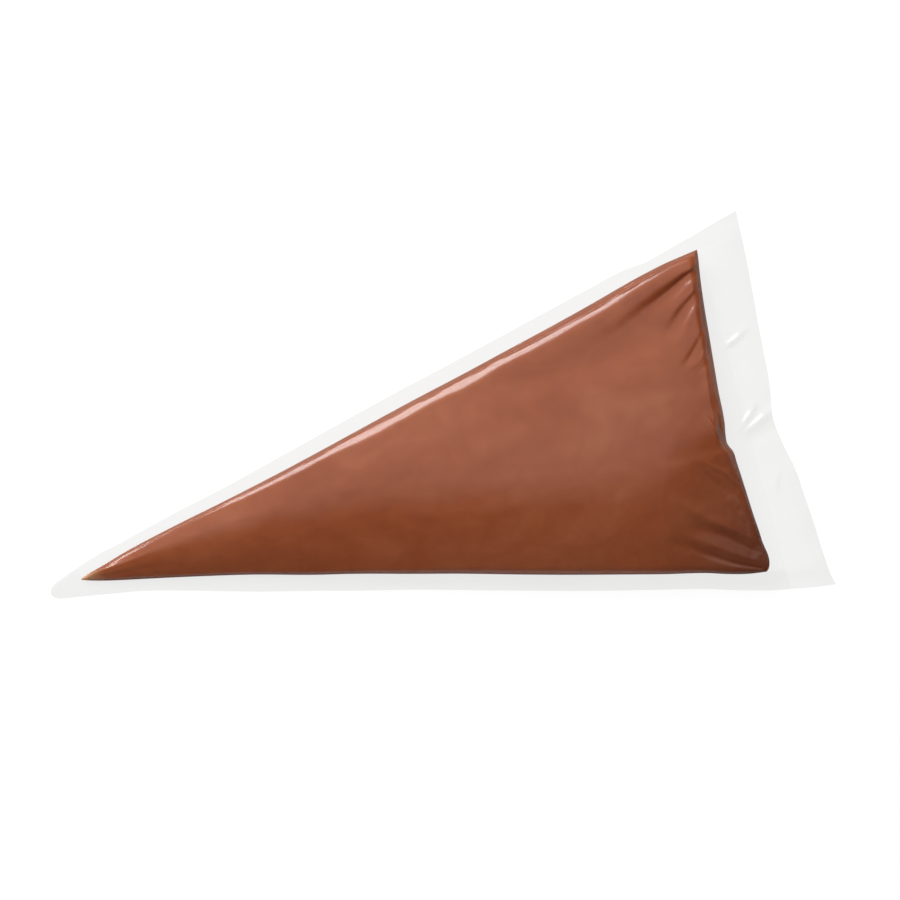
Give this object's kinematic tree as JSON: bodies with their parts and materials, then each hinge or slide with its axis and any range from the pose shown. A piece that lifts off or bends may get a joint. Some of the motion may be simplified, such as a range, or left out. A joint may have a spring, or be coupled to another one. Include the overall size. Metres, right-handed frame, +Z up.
{
  "type": "piping bag",
  "caption": "Filled piping bag lying flat: a long triangular pouch of clear film, sealed all round over light brown cream, with a loose film skirt behind the closing weld.",
  "frame": {"origin": "middle of the overall length and width, on the surface that the bag lies on", "axes": "+X from the narrow tip towards the wide mouth, +Y across the bag, +Z up from the surface it lies on"},
  "size_m": [0.46, 0.2336, 0.0334],
  "materials": {
    "cream": "light brown cocoa and nut cream, soft sheen through the film",
    "film": "clear glossy film about 0.1 mm thick",
    "weld": "the same film, two layers fused"
  },
  "bodies": {
    "bag": {"filling": "cream", "upper_film_panel": "film", "lower_film_panel": "film", "side_weld_left": "weld", "side_weld_right": "weld", "closing_weld": "weld"},
    "skirt": {"skirt_upper_film": "film", "skirt_lower_film": "film", "skirt_side_weld_left": "weld", "skirt_side_weld_right": "weld"},
    "tip": {"tip_weld": "weld"}
  },
  "joints": [
    {"name": "skirt_fold", "type": "hinge", "parent": "bag", "child": "skirt", "pos_m": [0.2042, 0, 0.01232], "axis": [0, 1, 0], "range_deg": [-150, 24], "stiffness_Nm_per_rad": 0.006},
    {"name": "tip_fold", "type": "hinge", "parent": "bag", "child": "tip", "pos_m": [-0.2106, 0, 0.00285], "axis": [0, 1, 0], "range_deg": [-4, 135], "stiffness_Nm_per_rad": 0.0004}
  ]
}
